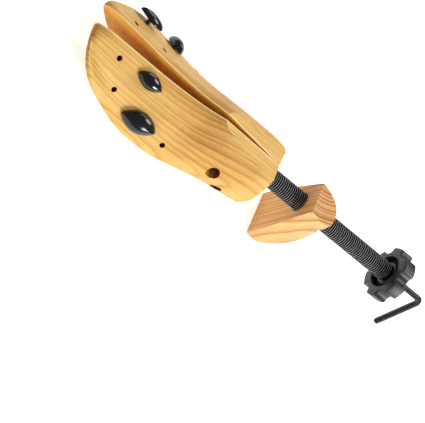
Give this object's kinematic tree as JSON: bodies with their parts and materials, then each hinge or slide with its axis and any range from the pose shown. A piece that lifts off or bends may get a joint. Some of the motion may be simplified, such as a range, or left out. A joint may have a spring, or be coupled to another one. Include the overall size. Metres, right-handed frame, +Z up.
{
  "type": "shoe tree",
  "caption": "Adjustable shoe tree and stretcher: split wooden forepart that spreads, wooden heel block on a black length screw with lobed knob, steel crank, push-in plugs.",
  "frame": {"origin": "centre of the heel block's bottom face", "axes": "+X towards the toe, +Y to the tree's left, +Z up"},
  "size_m": [0.3877, 0.0873, 0.1025],
  "materials": {
    "forepart_wood": "pale yellow pine, sanded and waxed",
    "heel_wood": "orange pine, sanded",
    "screw_plastic": "black, satin crests",
    "knob_plastic": "moulded dark grey",
    "plug_plastic": "glossy black",
    "nut_plastic": "black insert",
    "wedge_plastic": "greased nylon",
    "rod_steel": "blackened hexagonal bar",
    "plated_steel": "zinc plated",
    "block_metal": "die cast",
    "brass": "turned"
  },
  "bodies": {
    "hinge": {"hinge_block": "block_metal", "hinge_pins": "plated_steel"},
    "length_screw": {"length_screw": "screw_plastic", "screw_retaining_ring": "plated_steel", "length_knob": "knob_plastic", "knob_pins": "plated_steel"},
    "heel": {"heel_block": "heel_wood", "heel_nut": "nut_plastic"},
    "crank": {"crank_rod": "rod_steel", "spreader_spindle": "plated_steel", "spindle_pin": "plated_steel", "rod_collar": "plated_steel", "collar_screw": "plated_steel", "thrust_washer": "plated_steel"},
    "spreader": {"spreader_wedge": "wedge_plastic", "spreader_nut": "brass"},
    "left_half": {"left_last_half": "forepart_wood", "left_hinge_leaf": "plated_steel", "left_leaf_screws": "plated_steel", "left_wear_plate": "plated_steel", "left_plate_screws": "plated_steel"},
    "right_half": {"right_last_half": "forepart_wood", "right_hinge_leaf": "plated_steel", "right_leaf_screws": "plated_steel", "right_wear_plate": "plated_steel", "right_plate_screws": "plated_steel"},
    "left_small_plug": {"left_small_plug": "plug_plastic"},
    "left_large_plug": {"left_large_plug": "plug_plastic"},
    "right_toe_plug": {"right_toe_plug": "plug_plastic"},
    "right_ball_plug": {"right_ball_plug": "plug_plastic"}
  },
  "joints": [
    {"name": "crank_turn", "type": "hinge", "parent": "hinge", "child": "crank", "pos_m": [0.026, 0, 0.055], "axis": [0.9744, 0, -0.225], "range_deg": [-1255, 1440]},
    {"name": "left_swing", "type": "hinge", "parent": "hinge", "child": "left_half", "pos_m": [0.07472, 0, 0.04375], "axis": [0.225, 0, 0.9744], "range_deg": [-2.3, 2.8]},
    {"name": "right_swing", "type": "hinge", "parent": "hinge", "child": "right_half", "pos_m": [0.07472, 0, 0.04375], "axis": [0.225, 0, 0.9744], "range_deg": [-2.8, 2.3]},
    {"name": "spreader_slide", "type": "slide", "parent": "hinge", "child": "spreader", "axis": [-0.9744, 0, 0.225], "range_m": [-0.0071, 0.0081]},
    {"name": "screw_turn", "type": "hinge", "parent": "hinge", "child": "length_screw", "pos_m": [0.026, 0, 0.055], "axis": [0.9744, 0, -0.225], "range_deg": [-6480, 10800]},
    {"name": "heel_slide", "type": "slide", "parent": "hinge", "child": "heel", "axis": [-0.9744, 0, 0.225], "range_m": [-0.0362, 0.0602]},
    {"name": "left_small_plug_pull", "type": "slide", "parent": "left_half", "child": "left_small_plug", "axis": [0.1048, 0.6364, 0.7642], "range_m": [0, 0.0085]},
    {"name": "left_large_plug_pull", "type": "slide", "parent": "left_half", "child": "left_large_plug", "axis": [0.0614, 0.7256, 0.6854], "range_m": [0, 0.0085]},
    {"name": "right_toe_plug_pull", "type": "slide", "parent": "right_half", "child": "right_toe_plug", "axis": [0.0141, -0.6504, 0.7594], "range_m": [-0.0015, 0.0085]},
    {"name": "right_ball_plug_pull", "type": "slide", "parent": "right_half", "child": "right_ball_plug", "axis": [0.0614, -0.7256, 0.6854], "range_m": [0, 0.0085]}
  ],
  "couplings": [
    {"joint": "left_swing", "follows": "crank_turn", "ratio": 0.0018259},
    {"joint": "right_swing", "follows": "crank_turn", "ratio": -0.0018259},
    {"joint": "spreader_slide", "follows": "crank_turn", "m_per_rad": 0.00031831},
    {"joint": "heel_slide", "follows": "screw_turn", "m_per_rad": 0.00031831}
  ]
}
